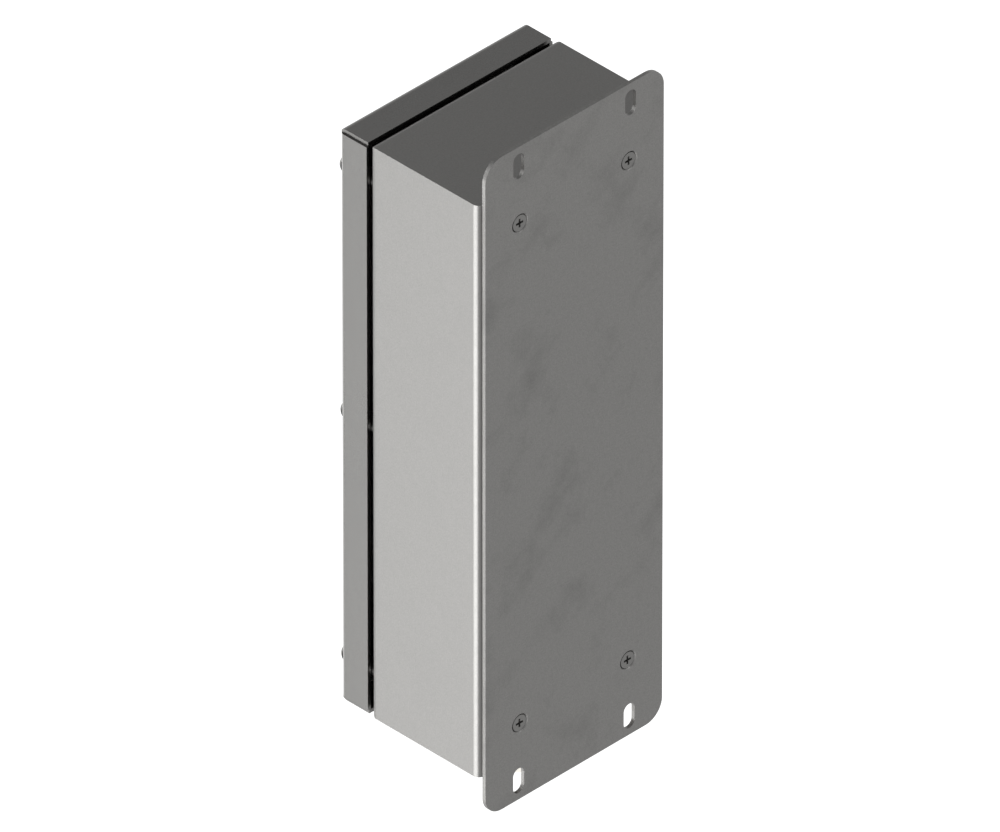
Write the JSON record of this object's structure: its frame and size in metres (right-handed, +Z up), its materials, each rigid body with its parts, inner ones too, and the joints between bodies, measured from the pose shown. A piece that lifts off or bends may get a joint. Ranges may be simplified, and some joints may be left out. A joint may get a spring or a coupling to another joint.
{
  "type": "pushbutton station",
  "caption": "Wall-mounted stainless pushbutton station: folded cover with sprung pushbuttons, welded box, slotted mounting plate and a cable gland underneath.",
  "frame": {"origin": "centre of the mounting plate's rear face, which lies on the wall", "axes": "+Z up, +Y out of the plate's rear face into the wall, the buttons face -Y, +X to the right of a person who looks at the buttons"},
  "size_m": [0.09, 0.0858, 0.282],
  "materials": {
    "satin_stainless": "satin, fine ground grain",
    "stainless_screw": "plain stainless",
    "spring_steel": "drawn spring wire",
    "chromed_bezel": "satin chrome",
    "nickel_brass": "nickel plated",
    "brass_plain": "plain",
    "contact_brass": "plain, silver tips",
    "black_rubber": "matt",
    "grey_foam": "matt foam",
    "black_plastic": "moulded, matt",
    "grey_plastic": "moulded, matt",
    "green_cap": "moulded, glossy",
    "black_cap": "moulded, glossy",
    "red_cap": "moulded, glossy"
  },
  "bodies": {
    "station": {"enclosure_body": "satin_stainless", "mounting_plate": "satin_stainless", "cover": "satin_stainless", "plate_screws": "stainless_screw", "plate_seals": "black_rubber", "plate_nuts": "stainless_screw", "cover_gasket": "grey_foam", "cover_pillars": "stainless_screw", "cover_screws": "stainless_screw", "cover_screw_seals": "black_rubber", "earth_stud": "stainless_screw", "earth_washer": "brass_plain", "earth_nut": "brass_plain", "gland_body": "nickel_brass", "gland_face_seal": "black_rubber", "gland_lock_nut": "nickel_brass", "gland_insert": "black_rubber", "gland_dome_nut": "nickel_brass", "clamp_screws": "stainless_screw", "terminal_screws": "stainless_screw", "bezel_top": "chromed_bezel", "bezel_seal_top": "black_rubber", "lip_seal_top": "black_rubber", "lock_nut_top": "chromed_bezel", "return_spring_top": "spring_steel", "adapter_top": "black_plastic", "contact_block_top": "grey_plastic", "fixed_contacts_top": "contact_brass", "bezel_middle": "chromed_bezel", "bezel_seal_middle": "black_rubber", "lip_seal_middle": "black_rubber", "lock_nut_middle": "chromed_bezel", "return_spring_middle": "spring_steel", "adapter_middle": "black_plastic", "contact_block_middle": "grey_plastic", "fixed_contacts_middle": "contact_brass", "bezel_bottom": "chromed_bezel", "bezel_seal_bottom": "black_rubber", "lip_seal_bottom": "black_rubber", "lock_nut_bottom": "chromed_bezel", "return_spring_bottom": "spring_steel", "adapter_bottom": "black_plastic", "contact_block_bottom": "grey_plastic", "fixed_contacts_bottom": "contact_brass"},
    "top_button": {"cap_top": "green_cap", "plunger_top": "grey_plastic", "slider_top": "black_plastic", "bridge_top": "contact_brass"},
    "middle_button": {"cap_middle": "black_cap", "plunger_middle": "grey_plastic", "slider_middle": "black_plastic", "bridge_middle": "contact_brass"},
    "bottom_button": {"cap_bottom": "red_cap", "plunger_bottom": "grey_plastic", "slider_bottom": "black_plastic", "bridge_bottom": "contact_brass"}
  },
  "joints": [
    {"name": "press_top", "type": "slide", "parent": "station", "child": "top_button", "axis": [0, 1, 0], "range_m": [0, 0.0045], "stiffness_N_per_m": 900, "springref_m": -0.003, "deforming": ["return_spring_top"]},
    {"name": "press_middle", "type": "slide", "parent": "station", "child": "middle_button", "axis": [0, 1, 0], "range_m": [0, 0.0045], "stiffness_N_per_m": 900, "springref_m": -0.003, "deforming": ["return_spring_middle"]},
    {"name": "press_bottom", "type": "slide", "parent": "station", "child": "bottom_button", "axis": [0, 1, 0], "range_m": [0, 0.0045], "stiffness_N_per_m": 900, "springref_m": -0.003, "deforming": ["return_spring_bottom"]}
  ]
}
